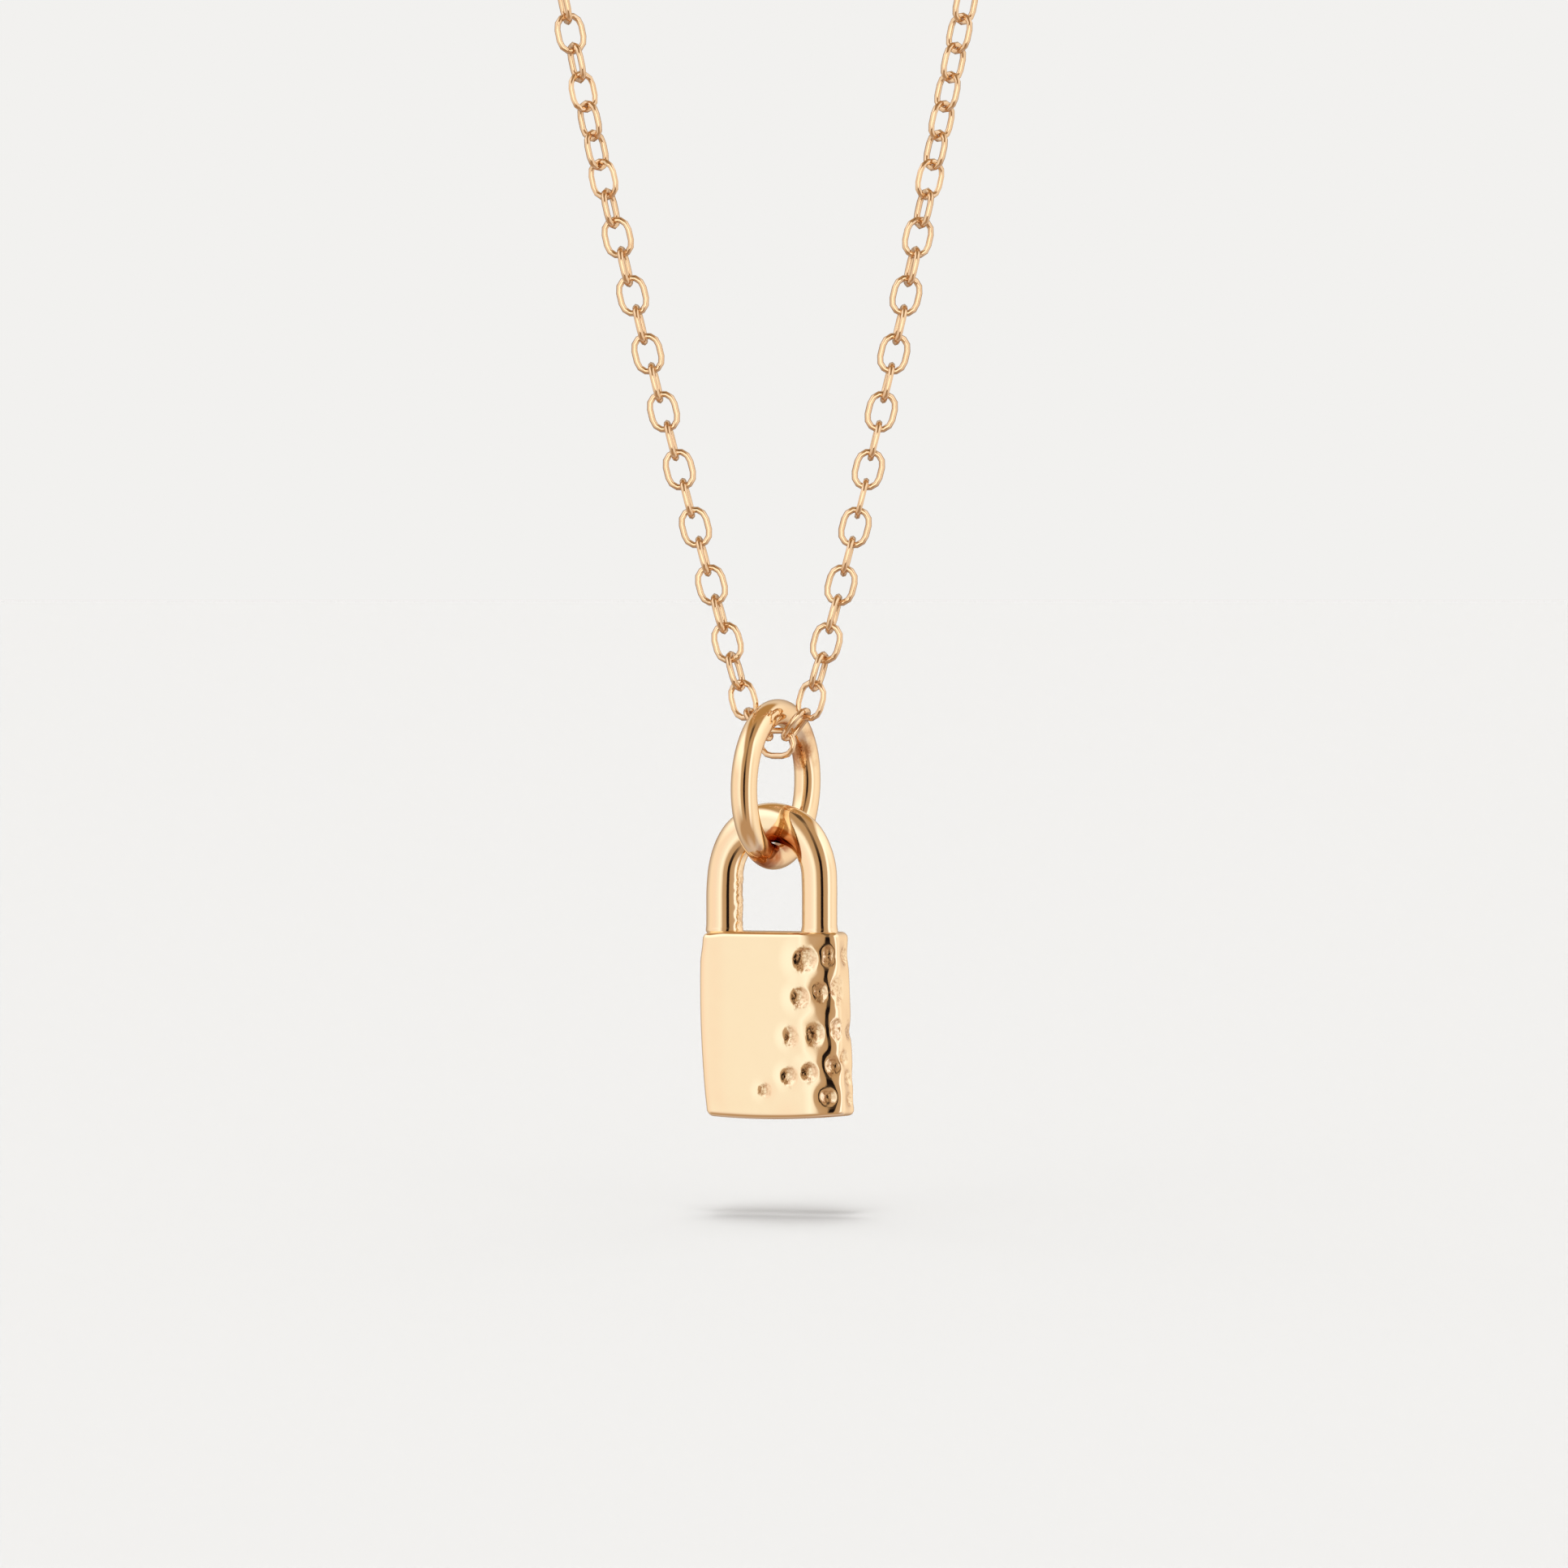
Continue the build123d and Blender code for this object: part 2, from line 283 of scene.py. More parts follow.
# The skin that the marks lie on, from the front's middle round the hammered edge to the back edge. The
# edge is a quarter of an ellipse, and its length is the usual close formula's
front_flat = BODY_WIDTH / 2 - HAMMERED_WIDE
corner_root = sqrt((3 * HAMMERED_WIDE + HAMMERED_DEEP) * (HAMMERED_WIDE + 3 * HAMMERED_DEEP))
corner_wrap = pi / 4 * (3 * (HAMMERED_WIDE + HAMMERED_DEEP) - corner_root)
side_flat = BODY_DEPTH - HAMMERED_DEEP
wrap = front_flat + corner_wrap + side_flat

# Hammer marks: "along" is a share of the way along that skin, "down" a share of the body's height,
# "wide", "tall" and "deep" are shares of the usual mark, "tilt" in degrees
MARKS = [
    dict(along=0.390, down=0.147, wide=1.24, tall=1.40, deep=1.15, tilt=25),
    dict(along=0.337, down=0.354, wide=0.94, tall=1.12, deep=0.90, tilt=-8),
    dict(along=0.239, down=0.563, wide=0.74, tall=1.04, deep=0.80, tilt=-6),
    dict(along=0.218, down=0.781, wide=0.86, tall=0.88, deep=0.80, tilt=0),
    dict(along=-0.007, down=0.860, wide=0.66, tall=0.80, deep=0.45, tilt=40),
    dict(along=0.506, down=0.328, wide=0.72, tall=1.04, deep=1.00, tilt=0),
    dict(along=0.452, down=0.552, wide=0.88, tall=1.20, deep=1.05, tilt=15),
    dict(along=0.392, down=0.759, wide=0.88, tall=1.12, deep=0.95, tilt=22),
    dict(along=0.597, down=0.130, wide=0.60, tall=1.12, deep=1.05, tilt=0),
    dict(along=0.602, down=0.724, wide=0.76, tall=1.00, deep=1.05, tilt=0),
    dict(along=0.542, down=0.891, wide=0.78, tall=0.76, deep=0.95, tilt=0),
    dict(along=0.731, down=0.310, wide=0.80, tall=1.35, deep=1.10, tilt=0),
    dict(along=0.677, down=0.526, wide=0.64, tall=1.27, deep=1.10, tilt=0),
    dict(along=0.885, down=0.790, wide=0.80, tall=0.80, deep=0.85, tilt=0),
    dict(along=0.890, down=0.905, wide=0.70, tall=0.70, deep=0.70, tilt=0),
    dict(along=0.890, down=0.130, wide=0.80, tall=1.00, deep=0.85, tilt=0),
    dict(along=0.930, down=0.540, wide=0.80, tall=1.05, deep=0.50, tilt=0),
    dict(along=0.810, down=0.680, wide=0.75, tall=0.80, deep=0.85, tilt=0),
]
# Depth of the soft dip round a mark, as a share of the mark's own depth: on the front, and for marks
# that lie further along than a share of the skin
FACE_DIP = 0.55
EDGE_DIP = 0.85
EDGE_FROM = 0.44
DIP_REACH = 1.15
# The pit is two dents along the mark's long way, in shares of its size
DENT_ENDS = (-0.6, 0.6)
DENT_DEPTH = 0.54
DENT_REACH = 1.04
# Where a pit is rough and carries painted shade, in shares of its half width and half height: it fades out
# at its rim, and is roughest at its left and its foot, the left heavier for the painted shade of the pit's
# left wall
PIT_RIM = 1.04
PIT_FADE = 0.26
PIT_ROUGH = 0.66
PIT_LEFT_SHADE = 0.34
PIT_FOOT = 0.14
PIT_LEAST = 0.2
PIT_WAVER = 0.35
PIT_WAVER_CELLS = 3.2
PIT_SEARCH = 1.6
PIT_GRAIN = 0.25 * MM
PIT_RELIEF = 0.12 * MM


def skin_point(along, down):
    """Point and outward direction on the body's skin, in the padlock's own frame."""
    run = along * wrap
    middle = BODY_OFFSET + RIGHT_FLARE * down * min(run / front_flat, 1.0)
    height = -BODY_HEIGHT * down
    face = -BODY_DEPTH / 2
    if run < front_flat:
        return Vector((middle + run, face, height)), Vector((0, -1, 0))
    if run < front_flat + corner_wrap:
        angle = (run - front_flat) / corner_wrap * pi / 2
        x = middle + front_flat + HAMMERED_WIDE * sin(angle)
        y = face + HAMMERED_DEEP * (1 - cos(angle))
        outward = Vector((HAMMERED_DEEP * sin(angle), -HAMMERED_WIDE * cos(angle), 0))
        return Vector((x, y, height)), outward.normalized()
    y = face + HAMMERED_DEEP + (run - front_flat - corner_wrap)
    return Vector((middle + BODY_WIDTH / 2, y, height)), Vector((1, 0, 0))


def body_block():
    """The body as a block with rounded edges, cut finely and shaped for the hammering."""
    select_nothing()
    bpy.ops.mesh.primitive_cube_add(size=1, location=(BODY_OFFSET, 0, -BODY_HEIGHT / 2),
                                    scale=(BODY_WIDTH, BODY_DEPTH, BODY_HEIGHT))
    body = bpy.context.object
    body.name = "padlock"
    bpy.ops.object.transform_apply(location=True, rotation=True, scale=True)
    open_mesh(body)
    # The hammered upright edge: rounded, then drawn out along the front to a quarter of an ellipse
    side = BODY_OFFSET + BODY_WIDTH / 2
    pick("EDGE", lambda e: span(e)[2] > BODY_HEIGHT / 2 and e.verts[0].co.x > 0 and e.verts[0].co.y < 0)
    bpy.ops.mesh.bevel(offset=HAMMERED_DEEP, segments=CORNER_STEPS, affect="EDGES", clamp_overlap=False)
    pick("VERT", lambda v: v.co.x > side - HAMMERED_DEEP - TOUCH)
    bpy.ops.transform.resize(value=(HAMMERED_WIDE / HAMMERED_DEEP, 1, 1), center_override=(side, 0, 0))
    # Tucked in at the lower left and flared at the lower right
    pick("VERT", lambda v: v.co.z < -BODY_HEIGHT / 2 and v.co.x < 0)
    bpy.ops.transform.translate(value=(LEFT_TUCK, 0, 0))
    pick("VERT", lambda v: v.co.z < -BODY_HEIGHT / 2 and v.co.x > 0)
    bpy.ops.transform.translate(value=(RIGHT_FLARE, 0, BOTTOM_RISE))
    # All the other edges
    pick("EDGE", lambda e: span(e)[2] < BODY_HEIGHT / 2
         or (abs(e.verts[0].co.y) > BODY_DEPTH / 2 - TOUCH
             and (e.verts[0].co.x < 0 or e.verts[0].co.y > 0)))
    bpy.ops.mesh.bevel(offset=EDGE_ROUND, segments=EDGE_STEPS, affect="EDGES", clamp_overlap=False)
    cut_finely()
    shape_faces(body)
    close_mesh()
    return body


def cut_finely():
    """Rows, then columns at the left and the finer ones at the right, then across the depth."""
    pick("EDGE", lambda e: span(e)[2] > BODY_HEIGHT / 2)
    bpy.ops.mesh.subdivide(number_cuts=round(BODY_HEIGHT / ROW_STEP))
    bpy.ops.mesh.select_all(action="SELECT")
    bpy.ops.mesh.bisect(plane_co=(FINE_FROM, 0, 0), plane_no=(1, 0, 0))
    pick("EDGE", lambda e: span(e)[0] > UNCUT_WIDE and max(v.co.x for v in e.verts) < FINE_FROM + TOUCH)
    bpy.ops.mesh.subdivide(number_cuts=LEFT_CUTS)
    pick("EDGE", lambda e: span(e)[0] > UNCUT_WIDE)
    bpy.ops.mesh.subdivide(number_cuts=RIGHT_CUTS)
    pick("EDGE", lambda e: span(e)[1] > UNCUT_DEEP)
    bpy.ops.mesh.subdivide(number_cuts=DEPTH_CUTS)


def shape_faces(body):
    """The bellied left side and bottom, and a front that falls towards its edges."""
    left = BODY_OFFSET - BODY_WIDTH / 2 + LEFT_TUCK / 2
    front = -BODY_DEPTH / 2
    push_at(body, Vector((left, 0, -BODY_HEIGHT / 2)), Vector((-LEFT_BELLY, 0, 0)), BODY_HEIGHT / 2,
            "INVERSE_SQUARE")
    push_at(body, Vector((BODY_OFFSET, 0, -BODY_HEIGHT)), Vector((0, 0, -BOTTOM_BELLY)), BOTTOM_REACH,
            "INVERSE_SQUARE")
    for step in range(FALL_STEPS):
        share = (step + 0.5) / FALL_STEPS
        push_at(body, Vector((left + FALL_INSET, front, -BODY_HEIGHT * share)),
                Vector((0, LEFT_FALL, 0)), LEFT_FALL_REACH, "SMOOTH")
        push_at(body, Vector((left + BOTTOM_FALL_LENGTH * share, front, -BODY_HEIGHT)),
                Vector((0, BOTTOM_FALL, 0)), BOTTOM_FALL_REACH, "SMOOTH")
    corner = left - LEFT_TUCK / 2
    pick("VERT", lambda v: hypot(v.co.x - corner, v.co.z) < CORNER_PICK)
    soft_move((CORNER_DRAW, 0, -CORNER_DRAW), CORNER_REACH, "SMOOTH")
    push_at(body, Vector((BODY_OFFSET + front_flat + TOP_FALL_PAST, front, -TOP_FALL_BELOW)),
            Vector((0, TOP_FALL, 0)), TOP_FALL_REACH, "SMOOTH")


def mark_place(mark):
    """A mark's place, outward direction and long direction on the skin, its half width and height."""
    place, outward = skin_point(mark["along"], mark["down"])
    side = outward.cross(Vector((0, 0, -1)))
    tilt = radians(mark["tilt"])
    long_way = Vector((0, 0, 1)) * cos(tilt) + side * sin(tilt)
    return place, outward, long_way, MARK_SIZE * mark["wide"] / 2, MARK_SIZE * mark["tall"] / 2


def hammer(body):
    """Each mark: a broad soft dip round it, then the pit itself, drawn out along its long way."""
    open_mesh(body)
    for mark in MARKS:
        place, outward, long_way, wide, tall = mark_place(mark)
        depth = MARK_DEPTH * mark["deep"]
        stretch = max(tall - wide, 0.0)
        dip = EDGE_DIP if mark["along"] > EDGE_FROM else FACE_DIP
        push_at(body, place, -outward * depth * dip, wide * DIP_REACH + tall, "SMOOTH")
        for end in DENT_ENDS:
            push_at(body, place + long_way * stretch * end, -outward * depth * DENT_DEPTH,
                    wide * DENT_REACH, "INVERSE_SQUARE")
    close_mesh()


def pit_weight(co):
    """How rough the pits are at a place on the body, and how much painted shade they carry, from 0 to 1.
    """
    rough = 0.0
    for place, outward, long_way, wide, tall in pits:
        step = co - place
        if step.length > PIT_SEARCH * tall:
            continue
        height, left = step.dot(long_way) / tall, step.dot(outward.cross(long_way)) / wide
        reach = hypot(height, left) * waver(co, PIT_WAVER, PIT_WAVER_CELLS)
        uneven = held(PIT_ROUGH + PIT_LEFT_SHADE * left - PIT_FOOT * height, PIT_LEAST)
        rough = max(rough, held((PIT_RIM - reach) / PIT_FADE) * uneven)
    return rough


pits = [mark_place(mark) for mark in MARKS]


# Shackle

SHACKLE_SIDES = 44
ARCH_STEPS = 56
LEG_CUTS = 50
# The bar is a little flat, in shares of its wire
SHACKLE_WIDE = 1.04
SHACKLE_DEEP = 0.83
# Each foot spreads where it enters the body, and narrows to its root
FOOT_WIDE = 1.06
FOOT_UNEVEN = 0.02
FOOT_DEEP = 1.08
FOOT_REACH = 0.42 * MM
ROOT_DRAW = (0.88, 0.70, 1)
ROOT_REACH = 0.46 * MM
# What is drawn in or brought down, and how far that reaches: the right leg, the arch, its shoulders
RIGHT_LEG_DRAW = 0.956
RIGHT_LEG_TOP = 1.8 * MM
RIGHT_LEG_REACH = 2.4 * MM
ARCH_WEAR = 0.10 * MM
ARCH_PICK_WIDE = 0.35 * MM
ARCH_PICK_DEEP = 0.15 * MM
ARCH_REACH = 1.5 * MM
SHOULDER_DRAW = 0.966
SHOULDER_HEIGHT = 4.6 * MM
SHOULDER_BAND = 0.3 * MM
SHOULDER_REACH = 2.3 * MM
# The rough inner side of the left leg, from above the body to past the leg's top
CAST_BOTTOM = 0.15 * MM
CAST_PAST = 0.8 * MM
CAST_FADE = 1.2 * MM
CAST_ASIDE = 0.5 * MM
CAST_FACING = 0.74
CAST_FACING_FADE = 0.16
CAST_GRAIN = 0.36 * MM
CAST_RELIEF = 0.17 * MM
# The arch's inner side, darkened with painted shade where it meets the ring: from the arch's middle, above
# the legs, and by its turn from the upright in radians
ARCH_DARK = 2.66 * MM
ARCH_DARK_FADE = 0.4 * MM
ARCH_DARK_ABOVE = 0.4 * MM
ARCH_DARK_LEFT = 0.5
ARCH_DARK_LEFT_FADE = 0.2
ARCH_DARK_RIGHT = 1.0
ARCH_DARK_RIGHT_FADE = 0.3
arch_radius = SHACKLE_SPREAD / 2
leg_length = SHACKLE_HEIGHT - SHACKLE_WIRE / 2 - arch_radius


def shackle_bar():
    """A bar, a little flat: up the left leg, round the arch and down the right leg, with spread feet."""
    root = (-arch_radius, 0, -SHACKLE_ROOT)
    bar = wire_section(SHACKLE_SIDES, SHACKLE_WIRE / 2, root, fill="NGON")
    open_mesh(bar)
    bpy.ops.mesh.select_all(action="SELECT")
    bpy.ops.transform.resize(value=(SHACKLE_WIDE, SHACKLE_DEEP, 1), center_override=root)
    draw_out((0, 0, SHACKLE_ROOT + leg_length))
    bpy.ops.mesh.spin(steps=ARCH_STEPS, angle=-pi, center=(0, 0, leg_length), axis=(0, 1, 0))
    draw_out((0, 0, -SHACKLE_ROOT - leg_length))
    pick("EDGE", lambda e: span(e)[2] > leg_length / 2)
    bpy.ops.mesh.subdivide(number_cuts=LEG_CUTS)
    for side in (-1, 1):
        leg = (side * arch_radius, 0, 0)
        pick("VERT", lambda v: abs(v.co.z) < NEAR and v.co.x * side > 0)
        soft_resize((FOOT_WIDE + FOOT_UNEVEN * side, FOOT_DEEP, 1), leg, FOOT_REACH, "SHARP")
        pick("VERT", lambda v: v.co.z < NEAR - SHACKLE_ROOT and v.co.x * side > 0)
        soft_resize(ROOT_DRAW, leg, ROOT_REACH, "LINEAR")
    # The right leg is a little thinner, its inner side in place
    half_bar = SHACKLE_WIRE * SHACKLE_WIDE / 2
    pick("VERT", lambda v: v.co.x > 0 and v.co.z < RIGHT_LEG_TOP)
    soft_resize((RIGHT_LEG_DRAW, 1, 1), (arch_radius - half_bar, 0, 0), RIGHT_LEG_REACH, "SMOOTH")
    # The arch reaches down to the ring
    underside = leg_length + arch_radius - half_bar
    pick("VERT", lambda v: abs(v.co.x) < ARCH_PICK_WIDE and abs(v.co.y) < ARCH_PICK_DEEP
         and abs(v.co.z - underside) < NEAR)
    soft_move((0, 0, -ARCH_WEAR), ARCH_REACH, "SMOOTH")
    # The arch's shoulders are drawn in a little
    pick("VERT", lambda v: abs(v.co.z - SHOULDER_HEIGHT) < SHOULDER_BAND)
    soft_resize((SHOULDER_DRAW, 1, 1), (0, 0, 0), SHOULDER_REACH, "SMOOTH")
    close_seams()
    close_mesh()
    return bar


def arch_painted_shade(co):
    """Painted shade as darker gold on the arch's inner side, where the ring meets it."""
    height = co.z - leg_length
    if height <= ARCH_DARK_ABOVE:
        return 0.0
    angle = atan2(co.x, height)
    inside = held((ARCH_DARK - hypot(co.x, height)) / ARCH_DARK_FADE)
    from_left = held((angle + ARCH_DARK_LEFT) / ARCH_DARK_LEFT_FADE)
    from_right = held((ARCH_DARK_RIGHT - angle) / ARCH_DARK_RIGHT_FADE)
    return inside * (from_left * from_right)


def casting_weight(v):
    """The left leg's inner side was left as it came from the mould."""
    top = leg_length + CAST_PAST
    if v.co.x > -CAST_ASIDE or not CAST_BOTTOM < v.co.z < top:
        return 0.0
    facing = held((v.normal.x - CAST_FACING) / CAST_FACING_FADE)
    return facing * min((top - v.co.z) / CAST_FADE, 1.0)


def make_padlock():
    body = body_block()
    hammer(body)
    roughen(body, "pits", lambda v: pit_weight(v.co), PIT_GRAIN, PIT_RELIEF)
    bar = shackle_bar()
    roughen(bar, "casting", casting_weight, CAST_GRAIN, CAST_RELIEF)
    finish_modifier(body, "BOOLEAN", operation="UNION", solver="EXACT", object=bar)
    bpy.data.objects.remove(bar)
    body.vertex_groups.clear()
    # Roughness of the pits and the cast leg, which the gold also darkens as painted shade in the low
    # places of the grain and on each pit's left wall
    set_attribute(body, "rough_cast_and_shade", lambda v: max(pit_weight(v.co), 0.5 * casting_weight(v)))
    # Painted shade as darker gold on the arch's inner side, where it meets the ring
    set_attribute(body, "contact_shade_and_patina", lambda v: arch_painted_shade(v.co))
    arch_under = ring_bottom - right * RING_AT_SHACKLE + up * (RING_WIRE / 2 + SHACKLE_GAP)
    body_top = arch_under + up * (SHACKLE_WIRE - SHACKLE_HEIGHT)
    set_place(body, Matrix.Translation(body_top) @ Matrix.Rotation(-PENDANT_TURN, 4, "Z"))
    smooth(body, 40)
    return body


# Jump ring

RING_SIDES = 40
RING_STEPS = 132
# Painted shade as darker gold where the shackle meets the ring and in the crevice beside it, and darker
# gold where the ring was soldered at the far side, which is also a little rough: places, how dark, how far
# it reaches and how softly it ends
SPOT_WAVER = 0.4
SPOT_WAVER_CELLS = 1.8
SOLDERED = Vector((-0.5, 2.85, 2.1)) * MM
SOLDER_ROUGH = 0.5
SOLDER_REACH = 1.5 * MM
SOLDER_FADE = 0.6 * MM
SHADE_AND_PATINA_SPOTS = [
    dict(at=Vector((0.15, -1.5, -3.7)) * MM, dark=1.0, reach=1.5 * MM, fade=0.5 * MM),
    dict(at=Vector((0.0, 0.3, -3.4)) * MM, dark=1.0, reach=0.95 * MM, fade=0.3 * MM),
    dict(at=SOLDERED, dark=0.75, reach=1.6 * MM, fade=0.9 * MM),
]


def spot(co, place, reach, fade):
    """1 near a place, fading to 0 at a reach, with an uneven edge."""
    distance = (co - place).length * waver(co, SPOT_WAVER, SPOT_WAVER_CELLS)
    return held((reach - distance) / fade)


# Painted shade where the shackle meets the ring and in the crevice beside it, and the darker gold of the
# solder, from 0 to 1
def ring_shade_and_patina(v):
    return max(row["dark"] * spot(v.co, row["at"], row["reach"], row["fade"]) for row in SHADE_AND_PATINA_SPOTS)


def make_jump_ring():
    """A round wire bent to a ring in the plane of up and out, its top leaning to the right."""
    ring = wire_section(RING_SIDES, RING_WIRE / 2, (0, RING_RADIUS, 0))
    ring.name = "jump_ring"
    open_mesh(ring)
    bpy.ops.mesh.select_all(action="SELECT")
    bpy.ops.mesh.spin(steps=RING_STEPS, angle=2 * pi, center=(0, 0, 0), axis=(1, 0, 0))
    close_seams()
    close_mesh()
    # Painted shade at the shackle contact, and darker gold at the solder
    set_attribute(ring, "contact_shade_and_patina", ring_shade_and_patina)
    set_attribute(ring, "rough_cast_and_shade",
                  lambda v: SOLDER_ROUGH * spot(v.co, SOLDERED, SOLDER_REACH, SOLDER_FADE))
    lean = Matrix.Rotation(RING_LEAN, 4, "Y")
    ring_up = up * cos(RING_LEAN) + right * sin(RING_LEAN)
    middle = ring_bottom + ring_up * RING_RADIUS
    set_place(ring, Matrix.Translation(middle) @ Matrix.Rotation(-PENDANT_TURN, 4, "Z") @ lean)
    smooth(ring, 60)
    return ring


# Chain

WIRE_SIDES = 6
BEND_STEPS = 6
WIRE_SWELL = 1.20

link_half = (LINK_PITCH + LINK_WIRE + LINK_GAP) / 2
link_bend = (LINK_WIDTH - LINK_WIRE) / 2
link_straight = link_half - link_bend
link_hold = link_bend - LINK_WIRE - LINK_GAP
lowest_link = chain_pivot - up * link_bend

# How far the links that face the viewer are turned about each strand, in degrees: "rise" counts
# links from the lowest one, "left" and "right" are the two strands
TWISTS = [
    dict(rise=0, left=-26, right=-26),
    dict(rise=2, left=-26, right=-26),
    dict(rise=4, left=-14, right=-12),
    dict(rise=8, left=-5, right=-2),
    dict(rise=12, left=-6, right=4),
    dict(rise=16, left=-8, right=9),
    dict(rise=18, left=-14, right=18),
    dict(rise=20, left=-27, right=31),
    dict(rise=22, left=-50, right=44),
    dict(rise=24, left=-68, right=47),
    dict(rise=27, left=-82, right=45),
    dict(rise=60, left=-90, right=60),
    dict(rise=LINKS_PER_SIDE, left=-90, right=90),
]


def twist_at(strand, rise):
    """Twist of a strand at a link, on straight lines between the table's rows."""
    low = TWISTS[0]
    for high in TWISTS:
        if high["rise"] >= rise:
            break
        low = high
    share = (rise - low["rise"]) / max(high["rise"] - low["rise"], 1)
    return radians(low[strand] + share * (high[strand] - low[strand]))


def ease(share):
    """From 0 to 1 with a soft start and a soft end."""
    share = held(share)
    return share * share * (3.0 - 2.0 * share)


def slope(angle):
    """Direction that rises at an angle to the right, in the plane of the pendant."""
    return right * cos(angle) + up * sin(angle)


first_slope = slope(FIRST_RISE)
second_link = right * link_straight + first_slope * (link_hold + link_half)
third_link = second_link + first_slope * (link_half + link_hold) + slope(STRAND_RISE) * link_straight
eye_bend = (CLASP_EYE - CLASP_EYE_WIRE) / 2
eye_middle = CLASP_BARREL / 2 + eye_bend
last_hook = eye_middle + eye_bend - (CLASP_EYE_WIRE + LINK_WIRE) / 2 - RING_GAP
clasp_reach = last_hook + link_half - LINK_PITCH / 2

# Each strand is a long gentle arc up to the upright, then a quarter circle over to the clasp
strand_turn = pi / 2 - STRAND_RISE
spread = (1 - sin(STRAND_RISE)) / strand_turn
links_length = (LINKS_PER_SIDE - 1.5) * LINK_PITCH
strand_length = (links_length - pi / 2 * (third_link.x - clasp_reach)) / (1 + pi / 2 * spread)
strand_radius = strand_length / strand_turn
top_radius = third_link.x + spread * strand_length - clasp_reach
loop_drop = third_link.z + strand_radius * cos(STRAND_RISE) + top_radius


def strand_point(length):
    """Place on the right strand at a length above its third link: x, height and slope."""
    if length < strand_length:
        angle = STRAND_RISE + length / strand_radius
        x = third_link.x + strand_radius * (sin(angle) - sin(STRAND_RISE))
        z = third_link.z + strand_radius * (cos(STRAND_RISE) - cos(angle))
    else:
        angle = pi / 2 + (length - strand_length) / top_radius
        x = clasp_reach + top_radius * sin(angle)
        z = loop_drop - top_radius * (1 + cos(angle))
    return x, z, angle


def link_matrix(side, rise):
    """Place of a link: its long way, its width and the way across it. Side is 1 or -1."""
    if rise == 0:
        middle, along, across = Vector((0, 0, 0)), right, out
    elif rise == 1:
        middle = Vector((side * second_link.x, side * second_link.y, second_link.z))
        along = Vector((side * first_slope.x, side * first_slope.y, first_slope.z))
        across = along.cross(out)
    else:
        length = (rise - 2) * LINK_PITCH
        x, z, angle = strand_point(length)
        inward = 1 - ease(length / FRONT_LENGTH)
        middle = Vector((side * x - LOOP_SHIFT * ease(length / SHIFT_LENGTH),
                         side * third_link.y * inward, z))
        along = Vector((side * cos(angle), side * slope(STRAND_RISE).y * inward, sin(angle)))
        along.normalize()
        strand = "right" if side > 0 else "left"
        facing = Matrix.Rotation(twist_at(strand, rise), 3, along) @ Vector((0, -1, 0))
        across = facing if rise % 2 == 0 else facing.cross(along)
    across = (across - along * across.dot(along)).normalized()
    width = across.cross(along)
    turn = Matrix((along, width, across)).transposed().to_4x4()
    return Matrix.Translation(lowest_link + middle) @ turn


def make_link():
    """One link, an oval of wire lying along x."""
    wire = LINK_WIRE / 2 * WIRE_SWELL
    bend = link_bend - (wire - LINK_WIRE / 2)
    link = wire_section(WIRE_SIDES, wire, (-link_straight, -bend, 0), turn=(0, pi / 2, 0))
    open_mesh(link)
    bpy.ops.mesh.select_all(action="SELECT")
    for side in (1, -1):
        draw_out((side * 2 * link_straight, 0, 0))
        bpy.ops.mesh.spin(steps=BEND_STEPS, angle=-pi, center=(side * link_straight, 0, 0), axis=(0, 0, 1))
    close_seams()
    close_mesh()
    return link


def make_chain():
    """All the links, each a copy of the first, joined into one piece."""
    pattern = make_link()
    places = [link_matrix(1, 0)]
    for rise in range(1, LINKS_PER_SIDE + 1):
        places += [link_matrix(-1, rise), link_matrix(1, rise)]
    links = []
    for place in places:
        link = pattern.copy()
        link.data = pattern.data.copy()
        link.data.transform(place)
        bpy.context.scene.collection.objects.link(link)
        links.append(link)
    bpy.data.objects.remove(pattern)
    select_nothing()
    for link in links:
        link.select_set(True)
    bpy.context.view_layer.objects.active = links[0]
    bpy.ops.object.join()
    chain = bpy.context.object
    chain.name = "chain"
    smooth(chain, 75)
    return chain


# Clasp

BARREL_SIDES = 32
BARREL_ROUND = 0.18 * MM
EYE_SIDES = 16
EYE_STEPS = 40


